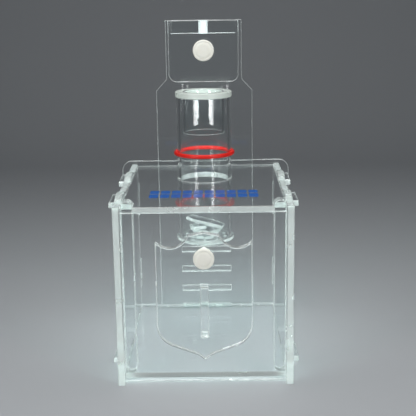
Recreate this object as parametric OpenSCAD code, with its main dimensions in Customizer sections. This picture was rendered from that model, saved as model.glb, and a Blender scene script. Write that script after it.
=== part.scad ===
// Clear acrylic donation box with a drop tube, a slotted backboard and a swinging shield.
// Flat laser-cut sheets join by through tabs. Y = 0 is halfway between the foremost
// and rearmost points, Z = 0 is the surface that the box stands on.

/* [Box] */
// Outside width across the two side panels
box_w = 150; // [130:1:200]
// Depth of the side panels, front to back
box_d = 190; // [170:1:240]
// Height of the side panels, without their arches
box_h = 157; // [140:1:200]
// Thickness of the side panels
side_t = 6; // [4:0.5:8]
// Thickness of the top, floor, front, back and backboard sheets
panel_t = 5; // [4:0.5:6]
// Height of the floor panel's underside above the table
floor_lift = 4; // [3:0.5:10]
// Height of the underside of the front panel and the backboard above the table
skirt_z = 2; // [1:0.5:3]
// Distance of the front panel behind the side panels' front edges
front_set = 3.5; // [2:0.5:8]
// Distance of the top panel's upper face below the side panels' top edge
top_drop = 0.5; // [0.5:0.5:1.5]

/* [Tabs] */
// Length of a side tab of the top panel
top_tab_len = 33; // [20:1:36]
// Length that a top tab stands out of the side panel
top_tab_out = 5; // [3:0.5:8]
// Distance from the side panel's front edge to the middle of each top tab
top_tab_y = [38.5, 124.5]; // [36:0.5:146]
// Height of the arch over each top tab
arch_h = 4; // [3:0.5:8]
// Length that an arch overlaps past each end of its tab
arch_over = 5.5; // [4:0.5:8]
// Length of a side tab of the floor panel
floor_tab_len = 33; // [20:1:40]
// Length that a floor tab stands out of the side panel
floor_tab_out = 8; // [4:0.5:10]
// Distance from the side panel's front edge to the middle of each floor tab
floor_tab_y = [56.5, 136.5]; // [40:0.5:140]
// Height of the side panels' rear tabs
rear_tab_h = 28; // [15:1:36]
// Height above the table of the middle of each rear tab
rear_tab_z = [42, 118]; // [28:1:118]

/* [Front posts] */
// Width of a front post
post_w = 10.2; // [8:0.2:14]
// Depth of a front post
post_d = 12; // [8:0.5:12]
// Height that a front post stands above the side panels
post_rise = 3; // [1:0.5:6]

/* [Back] */
// Length that the back panel reaches past each side panel
back_over = 10; // [4:1:30]
// Height of the back panel's top edge above the side panels
back_rise = 3.5; // [0:0.5:20]
// Radius of the back panel's upper corners
back_r = 10; // [4:1:20]
// Width of the backboard below its shoulders
board_w = 96; // [80:1:110]
// Width of the backboard's neck
neck_w = 75; // [60:1:78]
// Height above the side panels where the shoulders start
shoulder_rise = 75; // [60:1:82]
// Height of the sloping shoulders
shoulder_h = 11.3; // [6:0.1:20]
// Height of the backboard's top edge above the side panels
board_rise = 144; // [130:1:180]
// Width of the backboard's slots and of the floor panel's rear tab
slot_w = 50; // [35:1:60]
// Height above the floor of the underside of each open slot
slot_rise = [15, 36, 57]; // [12:1:90]

/* [Pocket] */
// Width of the pocket's front plate
pocket_w = 68; // [56:1:72]
// Thickness of the pocket's front plate
pocket_t = 4; // [3:0.5:6]
// Height of the pocket's front plate
pocket_h = 59; // [50:1:64]
// Radius of the pocket's lower corners
pocket_r = 8; // [4:1:14]
// Free depth between the pocket's front plate and the backboard
pocket_gap = 14; // [12:0.5:20]
// Width of the socket block
block_w = 62; // [40:1:66]
// Height of the socket block
block_h = 12.7; // [10:0.1:18]
// Radius of the vertical bore in the socket block
socket_r = 4.5; // [3:0.1:5.5]
// Distance of the pocket button below the backboard's top edge
pocket_button_drop = 28.5; // [26:0.5:34]
// Diameter of the pocket button's head
pocket_button_d = 20.5; // [14:0.5:24]

/* [Shield] */
// Width of the shield across its upper corners
shield_w = 80; // [60:1:90]
// Height of the shield's upper corners above its pivot
shield_up = 13.5; // [12:0.5:16]
// Distance from the pivot down to where the shield's sides turn in
shield_side = 58; // [40:1:60]
// Radius of the shield's lower corners
corner_r = 20; // [14:1:22]
// Distance from the pivot down to the shield's tip
shield_tip = 89; // [75:1:95]
// Radius of the two hollows in the shield's top edge
hollow_r = 16.2; // [15:0.1:20]
// Thickness of the shield
shield_t = 8; // [3:0.5:10]
// Distance of the shield's pivot below the side panels' top edge
pivot_drop = 41.5; // [25:0.5:45]
// Diameter of the shield button's head
shield_button_d = 17.5; // [14:0.5:24]
// Width of the coin slot
coin_w = 6; // [4:0.5:8]
// Height of the coin slot
coin_h = 43; // [30:1:50]
// Distance from the pivot down to the top of the coin slot
coin_drop = 26; // [15:1:30]

/* [Drop tube] */
// Outside diameter of the drop tube
tube_d = 51; // [40:1:60]
// Wall of the drop tube
tube_wall = 3; // [2:0.5:4]
// Length of the drop tube
tube_len = 132.5; // [120:0.5:140]
// Distance from the side panels' front edges to the tube's axis
tube_y = 125; // [100:1:135]
// Length of the tube below the top panel's underside
tube_below = 51; // [45:1:60]
// Length that the base disc reaches past the tube
base_over = 1.75; // [1:0.25:5]
// Thickness of the base disc
base_t = 3; // [2:0.5:6]
// Length that the cap reaches past the tube
cap_over = 0.75; // [0.25:0.25:5]
// Thickness of the cap
cap_t = 5; // [3:0.5:8]
// Gap between the throat sleeve and the tube's bore
sleeve_gap = 3; // [1:0.5:8]
// Wall of the throat sleeve
sleeve_wall = 2; // [1.5:0.5:3]
// Length of the throat sleeve
sleeve_len = 38.5; // [25:0.5:60]
// Thickness of the rubber ring outside the tube
ring_t = 3; // [2:0.2:4]
// Height of the rubber ring
ring_h = 3.8; // [3.8:0.2:8]
// Height of the rubber ring's middle above the top panel
ring_rise = 24; // [15:1:40]

/* [Hidden] */
$fn = 96;
fit = 0.1;           // gap around a tab in its slot
run = 0.08;          // radial gap of a running fit
ring_fit = 0.02;     // radial gap that keeps the rubber ring clear of the tube
swing = 0.4;         // gap in front of and behind the swinging shield
pin_r = 3;           // shank radius of both buttons
head_t = 3;          // thickness of a button's head
nut_t = 3;           // thickness of a button's nut
nut_r = 6;           // radius of a button's nut
spacer_r = 5.5;      // radius of a spacer sleeve
drain_r = 1.6;       // radius of the small holes in the base disc
drain_in = 3.5;      // distance of the holes' centres inside the tube's bore
drains = 10;         // number of the small holes
peak = 8;            // rise of the shield's middle above its upper corners
hollow_x = 0.7;      // sideways place of a hollow, as a share of the shield's half width
hollow_up = 0.69;    // height of a hollow's centre above the corners, as a share of its radius
tip_w = 6;           // half width of the shield's tip where it leaves the lower edges
tip_h = 4.5;         // height of the shield's tip
corner_sweep = 65;   // angle through which each lower corner of the shield turns
chip_t = 3;          // thickness of the loose offcuts
chip_gap = 0.2;      // least gap between an offcut and what lies under it
chip_tilt = 15;      // slope of the long offcut that leans on the others

inner_x = box_w/2 - side_t;
back_w = box_w + 2*back_over;
back_h = box_h + back_rise;
shoulder_z = box_h + shoulder_rise;
board_top = box_h + board_rise;
pivot_z = box_h - pivot_drop;
floor_z = floor_lift;
floor_top = floor_z + panel_t;
top_z1 = box_h - top_drop;
top_z0 = top_z1 - panel_t;
front_y1 = front_set + panel_t;
board_y0 = box_d - panel_t;
post_y1 = front_y1 + post_d;
shield_y1 = -swing;
shield_y0 = shield_y1 - shield_t;
head_y0 = shield_y0 - swing - head_t;
y_mid = (head_y0 + box_d + panel_t)/2;
pocket_y0 = board_y0 - pocket_gap - pocket_t;
pocket_y1 = pocket_y0 + pocket_t;
pocket_button_z = board_top - pocket_button_drop;
tube_r = tube_d/2;
bore_d = tube_d - 2*tube_wall;
sleeve_d = bore_d - 2*sleeve_gap;
tube_z0 = top_z0 - tube_below;
tube_z1 = tube_z0 + tube_len;
ring_r = tube_r + ring_t/2 + ring_fit;
ring_z = top_z1 + ring_rise;
layer = chip_t + chip_gap;

// An upright sheet: children are drawn in X and Z, and fill y0 to y0 + t.
module upright(y0, t) {
    translate([0, y0 + t - y_mid, 0]) rotate([90, 0, 0]) linear_extrude(t) children();
}

// A flat sheet: children are drawn in X and Y, and fill z0 to z0 + t.
module flat(z0, t) {
    translate([0, -y_mid, z0]) linear_extrude(t) children();
}

// A rectangle centred on X, from z0 to z1.
module band(w, z0, z1) {
    translate([-w/2, z0]) square([w, z1 - z0]);
}

// A rectangle with two round corners at its top, standing on z0.
module round_top(w, z0, z1, r) {
    band(w, z0, z1 - r);
    band(w - 2*r, z0, z1);
    for (s = [-1, 1]) translate([s*(w/2 - r), z1 - r]) circle(r);
}

module clear() { color([0.85, 0.93, 0.95, 0.4]) children(); }
module white() { color("ivory") children(); }

// Outline of a side panel in Y and Z, with its arches, rear tabs and slots.
module side_outline() {
    arch_chord = top_tab_len + 2*arch_over;
    arch_r = (pow(arch_chord/2, 2) + pow(arch_h, 2))/(2*arch_h);
    difference() {
        union() {
            square([box_d, box_h]);
            for (y = top_tab_y) intersection() {
                translate([y, box_h + arch_h - arch_r]) circle(arch_r);
                translate([y - arch_chord/2, box_h - 1]) square([arch_chord, arch_h + 1]);
            }
            for (z = rear_tab_z)
                translate([box_d - 1, z - rear_tab_h/2]) square([panel_t + 1, rear_tab_h]);
        }
        for (y = top_tab_y) translate([y - top_tab_len/2 - fit, top_z0 - fit])
            square([top_tab_len + 2*fit, panel_t + 2*fit]);
        for (y = floor_tab_y) translate([y - floor_tab_len/2 - fit, floor_z - fit])
            square([floor_tab_len + 2*fit, panel_t + 2*fit]);
    }
}

module side_panel(x0) {
    clear() translate([x0, -y_mid, 0]) rotate([90, 0, 90]) linear_extrude(side_t)
        side_outline();
}

module left_side_panel() side_panel(-box_w/2);
module right_side_panel() side_panel(inner_x);

// Tabs that reach out through both side panels.
module side_tabs(places, len, out) {
    for (y = places)
        translate([-box_w/2 - out, y - len/2]) square([box_w + 2*out, len]);
}

module top_panel() {
    clear() flat(top_z0, panel_t) difference() {
        union() {
            translate([-inner_x, front_set]) square([2*inner_x, board_y0 - front_set]);
            side_tabs(top_tab_y, top_tab_len, top_tab_out);
        }
        for (s = [-1, 1]) translate([s*(inner_x - post_w/2) - post_w/2 - fit, 0])
            square([post_w + 2*fit, post_y1 + fit]);
        translate([0, tube_y]) circle(tube_r + run);
    }
}

module floor_panel() {
    clear() flat(floor_z, panel_t) {
        translate([-inner_x, front_y1]) square([2*inner_x, board_y0 - front_y1]);
        side_tabs(floor_tab_y, floor_tab_len, floor_tab_out);
        translate([-slot_w/2, board_y0 - 1]) square([slot_w, panel_t + 1]);
    }
}

// The coin slot, drawn in X and Z.
module coin_slot() {
    band(coin_w, pivot_z - coin_drop - coin_h, pivot_z - coin_drop);
}

module front_panel() {
    clear() upright(front_set, panel_t) difference() {
        band(2*inner_x, skirt_z, top_z0);
        coin_slot();
        translate([0, pivot_z]) circle(pin_r);
    }
}

module back_panel() {
    clear() upright(box_d, panel_t) difference() {
        round_top(back_w, 0, back_h, back_r);
        for (s = [-1, 1], z = rear_tab_z) translate([s*(box_w - side_t)/2, z])
            square([side_t + 2*fit, rear_tab_h + 2*fit], center = true);
    }
}

module backboard() {
    clear() upright(board_y0, panel_t) difference() {
        polygon([[-board_w/2, skirt_z], [board_w/2, skirt_z],
            [board_w/2, shoulder_z], [neck_w/2, shoulder_z + shoulder_h],
            [neck_w/2, board_top], [-neck_w/2, board_top],
            [-neck_w/2, shoulder_z + shoulder_h], [-board_w/2, shoulder_z]]);
        for (rise = concat([-panel_t], slot_rise))
            band(slot_w + 2*fit, floor_top + rise - fit, floor_top + rise + panel_t + fit);
        translate([0, pocket_button_z]) circle(pin_r);
    }
}

// A bar with round ends that stands on the floor panel.
module front_post(side) {
    x = side*(inner_x - post_w/2);
    r = post_w/2;
    clear() upright(front_y1, post_d) translate([x, 0]) {
        band(post_w, floor_top + r, box_h + post_rise - r);
        for (z = [floor_top + r, box_h + post_rise - r]) translate([0, z]) circle(r);
    }
}

module left_front_post() front_post(-1);
module right_front_post() front_post(1);

// The shield's outline around its pivot. Its top edge has two hollows, its lower corners
// are arcs, and its lower edges run in to a small tip.
module shield_outline() {
    hw = shield_w/2;
    corner = [for (a = [0:corner_sweep/5:corner_sweep])
        [hw - corner_r*(1 - cos(a)), -shield_side - corner_r*sin(a)]];
    right = concat([[hw, shield_up]], corner, [[tip_w, -shield_tip + tip_h]]);
    left = [for (i = [len(right) - 1:-1:0]) [-right[i][0], right[i][1]]];
    difference() {
        polygon(concat([[0, shield_up + peak]], right, [[0, -shield_tip]], left));
        for (s = [-1, 1]) translate([s*hw*hollow_x, shield_up + hollow_r*hollow_up])
            circle(hollow_r);
    }
}

module shield() {
    clear() upright(shield_y0, shield_t) difference() {
        translate([0, pivot_z]) shield_outline();
        coin_slot();
        translate([0, pivot_z]) circle(pin_r + run);
    }
}

// A button's head and shank along Y, from its head's front face y0 to the shank's end y1.
module button(d, z, y0, y1) {
    crown = 0.8;
    white() translate([0, y0 - y_mid, z]) rotate([-90, 0, 0]) rotate_extrude()
        polygon([[0, 0], [d/2 - crown, 0], [d/2, crown], [d/2, head_t], [pin_r, head_t],
            [pin_r, y1 - y0], [0, y1 - y0]]);
}

// A ring on a button's shank, from y0 to y1.
module collar(r, z, y0, y1) {
    white() translate([0, y0 - y_mid, z]) rotate([-90, 0, 0]) difference() {
        cylinder(r = r, h = y1 - y0);
        translate([0, 0, -1]) cylinder(r = pin_r, h = y1 - y0 + 2);
    }
}

module shield_button() button(shield_button_d, pivot_z, head_y0, front_y1 + nut_t);
module shield_spacer() collar(spacer_r, pivot_z, 0, front_set);
module shield_nut() collar(nut_r, pivot_z, front_y1, front_y1 + nut_t);

module pocket_plate() {
    z0 = board_top - pocket_h;
    clear() upright(pocket_y0, pocket_t) difference() {
        translate([0, z0 + board_top]) mirror([0, 1])
            round_top(pocket_w, z0, board_top, pocket_r);
        translate([0, pocket_button_z]) circle(pin_r);
    }
}

// A block between the pocket's plate and the backboard, bored from top to bottom.
module socket_block() {
    clear() flat(board_top - block_h, block_h) difference() {
        translate([-block_w/2, pocket_y1]) square([block_w, pocket_gap]);
        translate([0, pocket_y1 + pocket_gap/2]) circle(socket_r);
    }
}

module pocket_button()
    button(pocket_button_d, pocket_button_z, pocket_y0 - head_t, box_d + nut_t);
module pocket_spacer() collar(spacer_r, pocket_button_z, pocket_y1, board_y0);
module pocket_nut() collar(nut_r, pocket_button_z, box_d, box_d + nut_t);

// Places its children on the tube's axis at height z.
module on_axis(z) {
    translate([0, tube_y - y_mid, z]) children();
}

module pipe(d, wall, h) {
    difference() {
        cylinder(d = d, h = h);
        translate([0, 0, -1]) cylinder(d = d - 2*wall, h = h + 2);
    }
}

module drop_tube() clear() on_axis(tube_z0) pipe(tube_d, tube_wall, tube_len);

module tube_base() {
    clear() on_axis(tube_z0 - base_t) difference() {
        cylinder(r = tube_r + base_over, h = base_t);
        for (i = [0:drains - 1]) rotate(360*i/drains + 180/drains)
            translate([bore_d/2 - drain_in, 0, -1]) cylinder(r = drain_r, h = base_t + 2);
    }
}

// The ring's section is a bar with round ends.
module rubber_ring() {
    straight = ring_h - ring_t;
    color("red") on_axis(ring_z) rotate_extrude() translate([ring_r, 0]) {
        square([ring_t, straight], center = true);
        for (s = [-1, 1]) translate([0, s*straight/2]) circle(d = ring_t, $fn = 32);
    }
}

module tube_cap() {
    clear() on_axis(tube_z1) difference() {
        cylinder(r = tube_r + cap_over, h = cap_t);
        translate([0, 0, -1]) cylinder(d = sleeve_d, h = cap_t + 2);
    }
}

module throat_sleeve()
    clear() on_axis(tube_z1 + cap_t - sleeve_len) pipe(sleeve_d, sleeve_wall, sleeve_len);

// A loose offcut of clear sheet, shorter than the tube's bore by less. The middle of its
// underside lies rise above the tube's base.
module chip(less, wide, rise, turn, tilt = 0, shift = 0) {
    len = bore_d - less;
    w = wide*len;
    clear() on_axis(tube_z0 + rise) translate([shift, 0, 0]) rotate([0, tilt, turn])
        linear_extrude(chip_t) polygon([[-len/2, -w/4], [-len/3, -w/2], [len/2.4, -w/2],
            [len/2, w/5], [len/4, w/2], [-len/2.6, w/2]]);
}

module broad_chip() chip(12, 0.67, chip_gap, 70);
module small_chip() chip(19, 0.7, chip_gap + layer, -35);
module corner_chip() chip(29, 0.8, chip_gap + 2*layer, 20, shift = -bore_d/6);
module long_chip() {
    less = 7;
    lift = sin(chip_tilt)*(bore_d - less)/2;
    chip(less, 0.45, chip_gap + 2*layer + lift, 0, tilt = chip_tilt);
}

left_side_panel();
right_side_panel();
top_panel();
floor_panel();
front_panel();
back_panel();
backboard();
left_front_post();
right_front_post();
shield();
shield_button();
shield_spacer();
shield_nut();
pocket_plate();
socket_block();
pocket_button();
pocket_spacer();
pocket_nut();
drop_tube();
tube_base();
rubber_ring();
tube_cap();
throat_sleeve();
long_chip();
broad_chip();
small_chip();
corner_chip();
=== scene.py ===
"""A clear acrylic donation box with a drop tube, a swinging shield and a tall backboard."""
import math

import bmesh
import bpy
from mathutils import Matrix, Vector


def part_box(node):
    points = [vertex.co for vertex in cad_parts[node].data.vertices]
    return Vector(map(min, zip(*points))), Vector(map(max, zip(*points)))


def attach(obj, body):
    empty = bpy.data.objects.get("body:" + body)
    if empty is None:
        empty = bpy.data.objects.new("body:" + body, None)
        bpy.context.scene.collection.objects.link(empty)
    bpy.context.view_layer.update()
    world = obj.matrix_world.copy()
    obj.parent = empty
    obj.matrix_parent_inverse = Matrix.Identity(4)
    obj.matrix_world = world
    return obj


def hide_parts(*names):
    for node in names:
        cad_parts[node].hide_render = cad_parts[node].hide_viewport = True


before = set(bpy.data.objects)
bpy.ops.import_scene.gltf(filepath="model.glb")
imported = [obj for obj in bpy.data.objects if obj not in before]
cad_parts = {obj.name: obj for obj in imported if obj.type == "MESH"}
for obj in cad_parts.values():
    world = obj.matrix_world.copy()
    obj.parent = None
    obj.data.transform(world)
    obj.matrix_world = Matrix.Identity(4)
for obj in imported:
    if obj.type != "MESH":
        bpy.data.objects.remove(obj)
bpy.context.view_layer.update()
mm = 0.001

# ---- View, floor and light ----
# The box stands on a plain pale sheet of paper that curves up behind it. Two tall soft
# lights stand to the left and right in front of it, and one wide light hangs above.
sides_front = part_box("left_side_panel")[0].y
camera_data = bpy.data.cameras.new("camera")
camera_data.sensor_width = 36.0
camera_data.lens = 77.9
camera = bpy.data.objects.new("camera", camera_data)
bpy.context.scene.collection.objects.link(camera)
pitch, yaw, roll = 0.2370, 0.0107, -0.0151
across = Vector((math.cos(yaw), math.sin(yaw), 0))
ahead = Vector((-math.sin(yaw), math.cos(yaw), 0))
forward = math.cos(pitch) * ahead - math.sin(pitch) * Vector((0, 0, 1))
upward = math.sin(pitch) * ahead + math.cos(pitch) * Vector((0, 0, 1))
right = math.cos(roll) * across + math.sin(roll) * upward
up = math.cos(roll) * upward - math.sin(roll) * across
turn = Matrix((right, up, -forward)).transposed().to_4x4()
eye = Vector((11.7 * mm, sides_front - 714.6 * mm, 328.7 * mm))
camera.matrix_world = Matrix.Translation(eye) @ turn
bpy.context.scene.camera = camera
# A line of sight through the box meets dozens of clear faces, and each costs a bounce.
clear_faces_crossed = 40
bpy.context.scene.cycles.max_bounces = clear_faces_crossed
bpy.context.scene.cycles.transmission_bounces = clear_faces_crossed
bpy.context.scene.cycles.transparent_max_bounces = clear_faces_crossed
bpy.context.scene.cycles.glossy_bounces = 8
bpy.context.scene.view_settings.view_transform = "Standard"


def linear(hex_colour):
    """An sRGB hex colour as a linear RGBA tuple."""
    parts = [int(hex_colour[i:i + 2], 16) / 255 for i in (1, 3, 5)]
    return tuple(c / 12.92 if c <= 0.04045 else ((c + 0.055) / 1.055) ** 2.4
                 for c in parts) + (1.0,)


def add_node(tree, kind, settings=None, links=None):
    """A node of that kind, with its properties or inputs set and its inputs linked."""
    node = tree.nodes.new(kind)
    for key, value in (settings or {}).items():
        if isinstance(key, str) and key in node.bl_rna.properties:
            setattr(node, key, value)
        else:
            node.inputs[key].default_value = value
    for key, socket in (links or {}).items():
        tree.links.new(socket, node.inputs[key])
    return node


def new_material(name):
    """An empty material and its node tree with only an output."""
    material = bpy.data.materials.new(name)
    material.use_nodes = True
    material.node_tree.nodes.clear()
    output = add_node(material.node_tree, "ShaderNodeOutputMaterial")
    return material, material.node_tree, output


def link_object(name, bm, materials):
    """Turns a finished bmesh into an object in the scene."""
    mesh = bpy.data.meshes.new(name)
    bm.to_mesh(mesh)
    bm.free()
    for material in materials:
        mesh.materials.append(material)
    piece = bpy.data.objects.new(name, mesh)
    bpy.context.scene.collection.objects.link(piece)
    return piece


def paper():
    """Matt pale backdrop paper with a faint tooth."""
    material, tree, output = new_material("backdrop_paper")
    place = add_node(tree, "ShaderNodeTexCoord")
    tooth = add_node(tree, "ShaderNodeTexNoise", {"Scale": 900.0, "Detail": 2.0},
                     {"Vector": place.outputs["Object"]})
    bump = add_node(tree, "ShaderNodeBump", {"Strength": 0.05, "Distance": 0.0002},
                    {"Height": tooth.outputs["Fac"]})
    shader = add_node(tree, "ShaderNodeBsdfPrincipled",
                      {"Base Color": linear("#AAADB0"), "Roughness": 0.8},
                      {"Normal": bump.outputs["Normal"]})
    tree.links.new(shader.outputs[0], output.inputs["Surface"])
    return material


sheet_front_y = -1.6
sheet_half_w = 2.4
sheet_top = 2.6
cove_r = 0.5
cove_y = 0.9
bm = bmesh.new()
line = [(sheet_front_y, 0.0), (cove_y, 0.0)]
line += [(cove_y + cove_r * math.sin(math.radians(a)), cove_r * (1 - math.cos(math.radians(a))))
         for a in range(10, 91, 10)]
line += [(cove_y + cove_r, sheet_top)]
points = [bm.verts.new((-sheet_half_w, y, z)) for y, z in line]
runs = [bm.edges.new(pair) for pair in zip(points, points[1:])]
swept = bmesh.ops.extrude_edge_only(bm, edges=runs)
bmesh.ops.translate(bm, vec=(2 * sheet_half_w, 0, 0),
                    verts=[v for v in swept["geom"] if isinstance(v, bmesh.types.BMVert)])
bmesh.ops.recalc_face_normals(bm, faces=bm.faces)
for face in bm.faces:
    face.smooth = True
backdrop = link_object("backdrop", bm, [paper()])


def soft_light(name, place, target, width, height, watts):
    """A rectangular soft light that faces its target."""
    data = bpy.data.lights.new(name, "AREA")
    data.shape = "RECTANGLE"
    data.size, data.size_y = width, height
    data.energy = watts
    lamp = bpy.data.objects.new(name, data)
    lamp.location = place
    lamp.rotation_euler = (Vector(target) - Vector(place)).to_track_quat("-Z", "Y").to_euler()
    lamp.visible_camera = False
    bpy.context.scene.collection.objects.link(lamp)


strip_x, strip_y, strip_z = 0.41, -0.52, 0.34
for name, side in (("left_strip", -1), ("right_strip", 1)):
    soft_light(name, (side * strip_x, strip_y, strip_z), (0, 0, 0.31), width=0.14,
               height=0.46, watts=1.7)
soft_light("overhead", (0.0, -0.15, 0.95), (0, -0.02, 0.1), width=0.7, height=0.45,
           watts=4.5)
world = bpy.data.worlds.new("studio")
bpy.context.scene.world = world
world.use_nodes = True
world.node_tree.nodes["Background"].inputs["Color"].default_value = linear("#DDE3EA")
world.node_tree.nodes["Background"].inputs["Strength"].default_value = 0.12


# ---- Flat acrylic sheets ----
# The panels, backboard, shield and pocket are laser-cut clear cast acrylic. Their broad
# faces keep the sheet's own polish, and their cut edges are finely lined, with a painted
# pale glow standing in for light carried along inside the sheet.
def lets_lamps_through(tree, shader, output, tint):
    """Light from lamps passes clear plastic, so that what it encloses is lit."""
    path = add_node(tree, "ShaderNodeLightPath")
    clear = add_node(tree, "ShaderNodeBsdfTransparent", {"Color": linear(tint)})
    mix = add_node(tree, "ShaderNodeMixShader", None,
                   {0: path.outputs["Is Shadow Ray"], 1: shader.outputs[0], 2: clear.outputs[0]})
    tree.links.new(mix.outputs[0], output.inputs["Surface"])


def polished_acrylic(name, tint, smudge=0.05):
    """Cast acrylic face: mirror smooth, with faint wiping marks some 20 mm across."""
    material, tree, output = new_material(name)
    place = add_node(tree, "ShaderNodeTexCoord")
    wipe = add_node(tree, "ShaderNodeTexNoise", {"Scale": 50.0, "Detail": 4.0},
                    {"Vector": place.outputs["Object"]})
    rough = add_node(tree, "ShaderNodeMapRange",
                     {"From Min": 0.45, "From Max": 0.75, "To Min": 0.005, "To Max": smudge},
                     {"Value": wipe.outputs["Fac"]})
    shader = add_node(tree, "ShaderNodeBsdfPrincipled",
                      {"Base Color": linear(tint), "IOR": 1.49, "Transmission Weight": 1.0},
                      {"Roughness": rough.outputs["Result"]})
    lets_lamps_through(tree, shader, output, tint)
    return material


def cut_edge(name, through):
    """Laser-cut acrylic edge: half matt, with lines 0.5 mm apart across the sheet.

    Its pale white diffuse share is a painted glow, standing in for light carried inside the
    sheet.
    """
    material, tree, output = new_material(name)
    place = add_node(tree, "ShaderNodeTexCoord")
    spread = [2000.0 if i != through else 60.0 for i in range(3)]
    stretch = add_node(tree, "ShaderNodeMapping", {"Scale": spread},
                       {"Vector": place.outputs["Object"]})
    lines = add_node(tree, "ShaderNodeTexNoise", {"Scale": 1.0, "Detail": 3.0},
                     {"Vector": stretch.outputs["Vector"]})
    patches = add_node(tree, "ShaderNodeTexNoise", {"Scale": 60.0, "Detail": 2.0},
                       {"Vector": place.outputs["Object"]})
    rough = add_node(tree, "ShaderNodeMapRange",
                     {"From Min": 0.35, "From Max": 0.65, "To Min": 0.04, "To Max": 0.3},
                     {"Value": patches.outputs["Fac"]})
    bump = add_node(tree, "ShaderNodeBump", {"Strength": 0.3, "Distance": 0.0003},
                    {"Height": lines.outputs["Fac"]})
    # Painted glow: the pale base colour on a 30% diffuse share stands in for light that the
    # clear edge carries inside the sheet. The lines and the roughness are the edge's own.
    shader = add_node(tree, "ShaderNodeBsdfPrincipled",
                      {"Base Color": linear("#F4FAF8"), "IOR": 1.49,
                       "Transmission Weight": 0.7},
                      {"Roughness": rough.outputs["Result"], "Normal": bump.outputs["Normal"]})
    lets_lamps_through(tree, shader, output, "#E3EEEC")
    return material


sheet_face = polished_acrylic("polished_cast_acrylic", "#FCFEFE")
edges_through = [cut_edge("laser_cut_edge_" + axis, i) for i, axis in enumerate("xyz")]

air = 0.03 * mm
flat_on = 0.98  # the least part of a broad face's normal that lies along the thickness


def solid_copy(node):
    """A CAD node's shape as one closed mesh with whole flat faces.

    It is smaller by a thin film of air all round, as pieces that only touch are.
    """
    bm = bmesh.new()
    bm.from_mesh(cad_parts[node].data)
    bmesh.ops.remove_doubles(bm, verts=bm.verts, dist=1e-6)
    bmesh.ops.dissolve_limit(bm, angle_limit=math.radians(0.5), verts=bm.verts, edges=bm.edges)
    lo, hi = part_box(node)
    middle = (lo + hi) / 2
    shrink = [1 - 2 * air / side for side in hi - lo]
    bmesh.ops.scale(bm, vec=shrink, space=Matrix.Translation(-middle), verts=bm.verts)
    return bm


def chamfer_rims(bm, through, width):
    """Chamfers the outline and the holes of both broad faces of a sheet."""
    for side in (-1, 1):
        broad = [f for f in bm.faces if f.normal[through] * side > flat_on]
        rims = bmesh.ops.inset_region(bm, faces=broad, thickness=width, use_boundary=True,
                                      use_even_offset=True)["faces"]
        inner = {v for f in broad for v in f.verts}
        for vert in {v for f in rims for v in f.verts} - inner:
            vert.co[through] -= side * width
    bm.normal_update()


def cut_sheet(node, through, body="box", arris=0.45 * mm):
    """A laser-cut sheet whose thickness runs along axis number through."""
    bm = solid_copy(node)
    # A corner rounded in steps shorter than this would fold over when chamfered.
    bmesh.ops.remove_doubles(bm, verts=bm.verts, dist=arris / 2)
    chamfer_rims(bm, through, arris)
    for face in bm.faces:
        face.material_index = 0 if abs(face.normal[through]) > flat_on else 1
    piece = link_object(node + "_sheet", bm, [sheet_face, edges_through[through]])
    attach(piece, body)
    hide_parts(node)


for node in ("left_side_panel", "right_side_panel"):
    cut_sheet(node, 0)
for node in ("top_panel", "floor_panel"):
    cut_sheet(node, 2)
for node in ("front_panel", "back_panel", "backboard", "pocket_plate",
             "left_front_post", "right_front_post"):
    cut_sheet(node, 1)
# The shield's two sharp upper corners have no room for a wider chamfer.
cut_sheet("shield", 1, body="shield_plate", arris=0.52 * mm)


# ---- Printed panel ----
# Two rows of plain slanted bars in blue ink, screen printed on the top panel in front of
# the tube.
def screen_ink(name, colour):
    """Screen ink: even colour with a thin, slightly orange-peeled gloss."""
    material, tree, output = new_material(name)
    place = add_node(tree, "ShaderNodeTexCoord")
    peel = add_node(tree, "ShaderNodeTexNoise", {"Scale": 1200.0, "Detail": 2.0},
                    {"Vector": place.outputs["Object"]})
    shade = add_node(tree, "ShaderNodeMapRange",
                     {"From Min": 0.3, "From Max": 0.7, "To Min": 0.25, "To Max": 0.4},
                     {"Value": peel.outputs["Fac"]})
    bump = add_node(tree, "ShaderNodeBump", {"Strength": 0.1, "Distance": 0.0001},
                    {"Height": peel.outputs["Fac"]})
    shader = add_node(tree, "ShaderNodeBsdfPrincipled", {"Base Color": linear(colour)},
                      {"Roughness": shade.outputs["Result"], "Normal": bump.outputs["Normal"]})
    tree.links.new(shader.outputs[0], output.inputs["Surface"])
    return material


top_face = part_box("top_panel")[1].z
ink_t = 0.12 * mm
ink_gap = 0.02 * mm
print_w = 96 * mm
bar_w = 8.0 * mm
bar_step = 9.6 * mm
bar_corner_r = 1.6 * mm
bar_lean = 0.45
rows = ((59 * mm, 11 * mm), (44 * mm, 13 * mm))
bm = bmesh.new()
for row_y, bar_l in rows:
    for i in range(round(print_w / bar_step)):
        shape = bmesh.ops.create_circle(bm, cap_ends=True, segments=4, radius=math.sqrt(0.5))
        square_up = Matrix.Rotation(math.pi / 4, 4, "Z")
        stretch = Matrix.Diagonal((bar_w, bar_l, 1, 1))
        lean = Matrix.Shear("XY", 4, (bar_lean, 0))
        spot = Matrix.Translation((-print_w / 2 + (i + 0.5) * bar_step, sides_front + row_y,
                                   top_face + ink_gap))
        bmesh.ops.transform(bm, matrix=spot @ lean @ stretch @ square_up, verts=shape["verts"])
bmesh.ops.bevel(bm, geom=bm.verts[:], offset=bar_corner_r, offset_type="OFFSET", segments=3,
                profile=0.5, affect="VERTICES", material=-1)
grown = bmesh.ops.extrude_face_region(bm, geom=bm.faces[:])
bmesh.ops.translate(bm, vec=(0, 0, ink_t),
                    verts=[v for v in grown["geom"] if isinstance(v, bmesh.types.BMVert)])
bmesh.ops.recalc_face_normals(bm, faces=bm.faces)
print_piece = link_object("top_print", bm, [screen_ink("blue_screen_ink", "#1560B8")])
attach(print_piece, "box")


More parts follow.
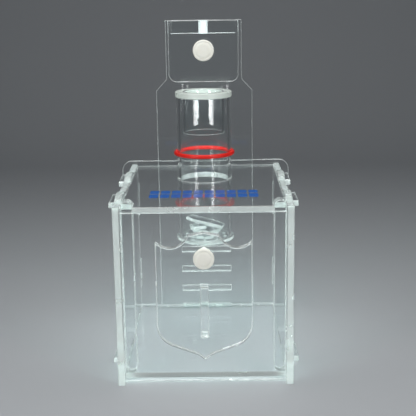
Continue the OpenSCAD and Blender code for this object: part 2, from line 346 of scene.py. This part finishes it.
# ---- Turned and tubular pieces ----
# The drop tube and its throat are extruded clear tube, sawn and faced. The cap is a ring
# turned from thick sheet with a matt rim, and the throat is bonded into it.
def turned(name, profile, base, along, materials, steps=128, index=None):
    """Spins a closed profile of (radius, height) points about a line through base."""
    bm = bmesh.new()
    side = Vector((1, 0, 0))
    verts = [bm.verts.new(base + side * r + along * h) for r, h in profile]
    edges = [bm.edges.new((verts[i], verts[(i + 1) % len(verts)])) for i in range(len(verts))
             if profile[i][0] > 0 or profile[(i + 1) % len(verts)][0] > 0]
    bmesh.ops.spin(bm, geom=verts + edges, cent=base, axis=along, dvec=(0, 0, 0),
                   angle=math.tau, steps=steps, use_merge=True)
    bmesh.ops.remove_doubles(bm, verts=bm.verts, dist=1e-6)
    bmesh.ops.recalc_face_normals(bm, faces=bm.faces)
    for face in bm.faces:
        face.smooth = True
        face.material_index = index(face) if index else 0
    for edge in bm.edges:
        if len(edge.link_faces) == 2 and edge.calc_face_angle(0) > math.radians(40):
            edge.smooth = False
    return link_object(name, bm, materials)


def ring_profile(inner, outer, z0, z1, c):
    """The section of a tube with a chamfer c on each of its four corners."""
    return [(inner + c, z0), (outer - c, z0), (outer, z0 + c), (outer, z1 - c),
            (outer - c, z1), (inner + c, z1), (inner, z1 - c), (inner, z0 + c)]


tube_face = polished_acrylic("extruded_acrylic_tube", "#FBFDFD", smudge=0.03)
# The faced tube ends take the cut-edge material, with its painted pale glow.
sawn_end = cut_edge("faced_tube_end", 2)
up_axis = Vector((0, 0, 1))
tube_lo, tube_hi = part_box("drop_tube")
axis_point = Vector((0, (tube_lo.y + tube_hi.y) / 2, 0))
tube_r = (tube_hi.x - tube_lo.x) / 2
tube_wall = 3 * mm
tube_chamfer = 0.35 * mm


def end_or_wall(face):
    """1 on a tube's ends, 0 on its walls."""
    return 1 if abs(face.normal.z) > 0.3 else 0


tube = turned("drop_tube_pipe", ring_profile(tube_r - tube_wall, tube_r, tube_lo.z + air,
                                             tube_hi.z - air, tube_chamfer),
              axis_point, up_axis, [tube_face, sawn_end], index=end_or_wall)
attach(tube, "tube")
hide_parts("drop_tube")

sleeve_lo, sleeve_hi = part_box("throat_sleeve")
sleeve_r = (sleeve_hi.x - sleeve_lo.x) / 2
sleeve_wall = 2 * mm
sleeve_chamfer = 0.3 * mm
throat = turned("throat_pipe", ring_profile(sleeve_r - sleeve_wall, sleeve_r, sleeve_lo.z,
                                            sleeve_hi.z, sleeve_chamfer),
                axis_point, up_axis, [tube_face, sawn_end], index=end_or_wall)
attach(throat, "cap")
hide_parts("throat_sleeve")


def matt_turned():
    """Turned acrylic: a fine tooth leaves it cloudy and pale.

    The real tooth is finer. It is drawn some 1.4 mm across, so that it shows.
    """
    material, tree, output = new_material("turned_matt_acrylic")
    place = add_node(tree, "ShaderNodeTexCoord")
    fine = add_node(tree, "ShaderNodeTexNoise", {"Scale": 700.0, "Detail": 3.0},
                    {"Vector": place.outputs["Object"]})
    cloud = add_node(tree, "ShaderNodeTexNoise", {"Scale": 90.0, "Detail": 3.0},
                     {"Vector": place.outputs["Object"]})
    rough = add_node(tree, "ShaderNodeMapRange",
                     {"From Min": 0.3, "From Max": 0.7, "To Min": 0.25, "To Max": 0.5},
                     {"Value": cloud.outputs["Fac"]})
    bump = add_node(tree, "ShaderNodeBump", {"Strength": 0.25, "Distance": 0.0003},
                    {"Height": fine.outputs["Fac"]})
    shader = add_node(tree, "ShaderNodeBsdfPrincipled",
                      {"Base Color": linear("#E6ECE7"), "IOR": 1.49,
                       "Transmission Weight": 0.35},
                      {"Roughness": rough.outputs["Result"], "Normal": bump.outputs["Normal"]})
    lets_lamps_through(tree, shader, output, "#C9D2CE")
    return material


cap_lo, cap_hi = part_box("tube_cap")
cap_r = (cap_hi.x - cap_lo.x) / 2
cap_chamfer = 0.5 * mm
cap_section = ring_profile(sleeve_r + air, cap_r, cap_lo.z + air, cap_hi.z, cap_chamfer)
cap = turned("cap_ring", cap_section, axis_point, up_axis, [matt_turned()])
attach(cap, "cap")
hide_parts("tube_cap")


# ---- Tube base ----
# A clear disc drilled with a ring of small holes is bonded under the tube, and is too
# wide to pass the top panel, so that the tube can't be pulled out.
base_arris = 0.4 * mm
bm = solid_copy("tube_base")
chamfer_rims(bm, 2, base_arris)
for face in bm.faces:
    face.material_index = 0 if abs(face.normal.z) > flat_on else 1
base = link_object("base_disc", bm, [sheet_face, edges_through[2]])
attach(base, "tube")
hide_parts("tube_base")


# ---- Rubber ring ----
# A moulded red silicone ring stretched on the tube. It stops the tube going right down.
def silicone():
    """Red silicone rubber: satin, a little dusty, with a soft mottled skin."""
    material, tree, output = new_material("red_silicone_rubber")
    place = add_node(tree, "ShaderNodeTexCoord")
    skin = add_node(tree, "ShaderNodeTexNoise", {"Scale": 500.0, "Detail": 4.0},
                    {"Vector": place.outputs["Object"]})
    colour = add_node(tree, "ShaderNodeMix",
                      {"data_type": "RGBA", 6: linear("#D3160F"), 7: linear("#EE2A1E")},
                      {0: skin.outputs["Fac"]})
    rough = add_node(tree, "ShaderNodeMapRange", {"To Min": 0.3, "To Max": 0.5},
                     {"Value": skin.outputs["Fac"]})
    bump = add_node(tree, "ShaderNodeBump", {"Strength": 0.15, "Distance": 0.0002},
                    {"Height": skin.outputs["Fac"]})
    shader = add_node(tree, "ShaderNodeBsdfPrincipled", {"IOR": 1.43},
                      {"Base Color": colour.outputs[2], "Roughness": rough.outputs["Result"],
                       "Normal": bump.outputs["Normal"]})
    tree.links.new(shader.outputs[0], output.inputs["Surface"])
    return material


ring_lo, ring_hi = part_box("rubber_ring")
ring_out = (ring_hi.x - ring_lo.x) / 2
round_r = (ring_out - tube_r) / 2 - air
ring_section = []
for z, first in ((ring_hi.z - round_r, 0), (ring_lo.z + round_r, 180)):
    for angle in range(first, first + 181, 15):
        ring_section.append((ring_out - round_r + round_r * math.cos(math.radians(angle)),
                             z + round_r * math.sin(math.radians(angle))))
ring = turned("silicone_ring", ring_section, axis_point, up_axis, [silicone()])
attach(ring, "tube")
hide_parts("rubber_ring")


# ---- Offcuts in the tube ----
# Scraps of 3 mm clear sheet lie on the base disc. Their faces are polished, and their
# broken edges are half matt, with the cut edges' painted pale glow.
def break_corners(bm, width):
    """Takes the sharpness off every edge that turns by more than 30 degrees."""
    sharp = [e for e in bm.edges
             if len(e.link_faces) == 2 and e.calc_face_angle(0) > math.radians(30)]
    bmesh.ops.bevel(bm, geom=sharp, offset=width, offset_type="OFFSET", segments=2,
                    profile=0.5, affect="EDGES", clamp_overlap=True, material=-1)
    bm.normal_update()


scrap_arris = 0.4 * mm
for node in ("long_chip", "broad_chip", "small_chip", "corner_chip"):
    bm = solid_copy(node)
    break_corners(bm, scrap_arris)
    broad = max(bm.faces, key=lambda f: f.calc_area()).normal.copy()
    for face in bm.faces:
        face.material_index = 0 if abs(face.normal.dot(broad)) > flat_on else 1
    scrap = link_object(node + "_scrap", bm, [sheet_face, edges_through[2]])
    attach(scrap, "tube")
    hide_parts(node)


# ---- White buttons ----
# Moulded nylon buttons with a crowned head and a shank. One is the shield's pivot, and the
# other holds the pocket plate. Each has a spacer sleeve and a hexagonal nut behind it.
def nylon():
    """Off-white moulded nylon: satin and slightly waxy, with faint flow marks."""
    material, tree, output = new_material("moulded_white_nylon")
    place = add_node(tree, "ShaderNodeTexCoord")
    flow = add_node(tree, "ShaderNodeTexNoise", {"Scale": 160.0, "Detail": 4.0},
                    {"Vector": place.outputs["Object"]})
    grit = add_node(tree, "ShaderNodeTexNoise", {"Scale": 1500.0, "Detail": 2.0},
                    {"Vector": place.outputs["Object"]})
    colour = add_node(tree, "ShaderNodeMix",
                      {"data_type": "RGBA", 6: linear("#E9E8DC"), 7: linear("#F4F4EC")},
                      {0: flow.outputs["Fac"]})
    rough = add_node(tree, "ShaderNodeMapRange", {"To Min": 0.35, "To Max": 0.55},
                     {"Value": flow.outputs["Fac"]})
    bump = add_node(tree, "ShaderNodeBump", {"Strength": 0.12, "Distance": 0.0002},
                    {"Height": grit.outputs["Fac"]})
    shader = add_node(tree, "ShaderNodeBsdfPrincipled",
                      {"IOR": 1.53, "Subsurface Weight": 0.1, "Subsurface Scale": 0.001,
                       "Subsurface Radius": (1.0, 0.9, 0.8)},
                      {"Base Color": colour.outputs[2], "Roughness": rough.outputs["Result"],
                       "Normal": bump.outputs["Normal"]})
    tree.links.new(shader.outputs[0], output.inputs["Surface"])
    return material


white = nylon()
head_t = 3 * mm
head_round_r = 1.2 * mm
head_chamfer = 0.3 * mm
rim_drop = 0.25 * mm
rim_w = 2.2 * mm
groove_half_w = 0.35 * mm
groove_d = 0.4 * mm
pin_r = 3 * mm
pin_chamfer = 0.4 * mm
spacer_chamfer = 0.3 * mm
nut_border = 1.2 * mm
nut_arris = 0.3 * mm
to_back = Vector((0, 1, 0))
for name in ("shield", "pocket"):
    lo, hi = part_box(name + "_button")
    head_r = (hi.x - lo.x) / 2
    middle = Vector((0, lo.y, (lo.z + hi.z) / 2))
    button_l = hi.y - lo.y
    rim = [(head_r - head_round_r * (1 - math.cos(math.radians(a))),
            head_round_r * (1 - math.sin(math.radians(a))) + rim_drop)
           for a in range(90, -1, -15)]
    groove_r = head_r - rim_w
    section = [(0, 0.0), (groove_r * 0.6, 0.03 * mm), (groove_r - groove_half_w, 0.15 * mm),
               (groove_r, groove_d), (groove_r + groove_half_w, 0.2 * mm)]
    section += rim + [(head_r, head_t - head_chamfer), (head_r - head_chamfer, head_t),
                      (pin_r, head_t), (pin_r, button_l - pin_chamfer),
                      (pin_r - pin_chamfer, button_l), (0, button_l)]
    button = turned(name + "_button_moulding", section, middle, to_back, [white], steps=96)
    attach(button, "box")
    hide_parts(name + "_button")

    lo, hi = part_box(name + "_spacer")
    collar = turned(name + "_spacer_sleeve",
                    ring_profile(pin_r, (hi.x - lo.x) / 2, lo.y, hi.y, spacer_chamfer),
                    Vector((0, 0, middle.z)), to_back, [white], steps=64)
    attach(collar, "box")
    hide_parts(name + "_spacer")

    lo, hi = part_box(name + "_nut")
    bm = bmesh.new()
    bmesh.ops.create_cone(bm, cap_ends=True, segments=6, radius1=(hi.x - lo.x) / 2,
                          radius2=(hi.x - lo.x) / 2, depth=hi.y - lo.y)
    bmesh.ops.rotate(bm, verts=bm.verts, matrix=Matrix.Rotation(math.pi / 2, 3, "X"))
    bmesh.ops.translate(bm, verts=bm.verts, vec=(lo + hi) / 2)
    caps = [f for f in bm.faces if abs(f.normal.y) > 0.9]
    bmesh.ops.inset_region(bm, faces=caps, thickness=nut_border, depth=0)
    break_corners(bm, nut_arris)
    nut = link_object(name + "_nut_moulding", bm, [white])
    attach(nut, "box")
    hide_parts(name + "_nut")


# ---- Socket block ----
# A block bonded between the pocket plate and the backboard, drilled from top to bottom
# for a pen or a small flag. The drill leaves the bore white and frosted.
def drilled_frost():
    """Drilled acrylic: white, with wavering scores round the bore.

    The drill's own scores are finer. They are drawn some 1.6 mm apart, so that they show.
    """
    material, tree, output = new_material("drilled_frosted_acrylic")
    place = add_node(tree, "ShaderNodeTexCoord")
    score = add_node(tree, "ShaderNodeTexWave",
                     {"bands_direction": "Z", "Scale": 200.0, "Distortion": 3.0},
                     {"Vector": place.outputs["Object"]})
    bump = add_node(tree, "ShaderNodeBump", {"Strength": 0.3, "Distance": 0.0003},
                    {"Height": score.outputs["Fac"]})
    rough = add_node(tree, "ShaderNodeMapRange", {"To Min": 0.4, "To Max": 0.6},
                     {"Value": score.outputs["Fac"]})
    shader = add_node(tree, "ShaderNodeBsdfPrincipled",
                      {"Base Color": linear("#F4F8F8"), "IOR": 1.49,
                       "Transmission Weight": 0.15},
                      {"Roughness": rough.outputs["Result"], "Normal": bump.outputs["Normal"]})
    lets_lamps_through(tree, shader, output, "#D5DCDC")
    return material


bm = solid_copy("socket_block")
block_lo, block_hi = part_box("socket_block")
bore_line = (block_lo + block_hi) / 2
bore_r = 4.5 * mm
block_arris = 0.4 * mm
chamfer_rims(bm, 2, block_arris)
for face in bm.faces:
    spot = face.calc_center_median() - bore_line
    in_bore = math.hypot(spot.x, spot.y) < bore_r + block_arris
    face.material_index = 2 if in_bore else (0 if abs(face.normal.y) > flat_on else 1)
block = link_object("socket_block_body", bm, [sheet_face, edges_through[1], drilled_frost()])
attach(block, "box")
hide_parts("socket_block")
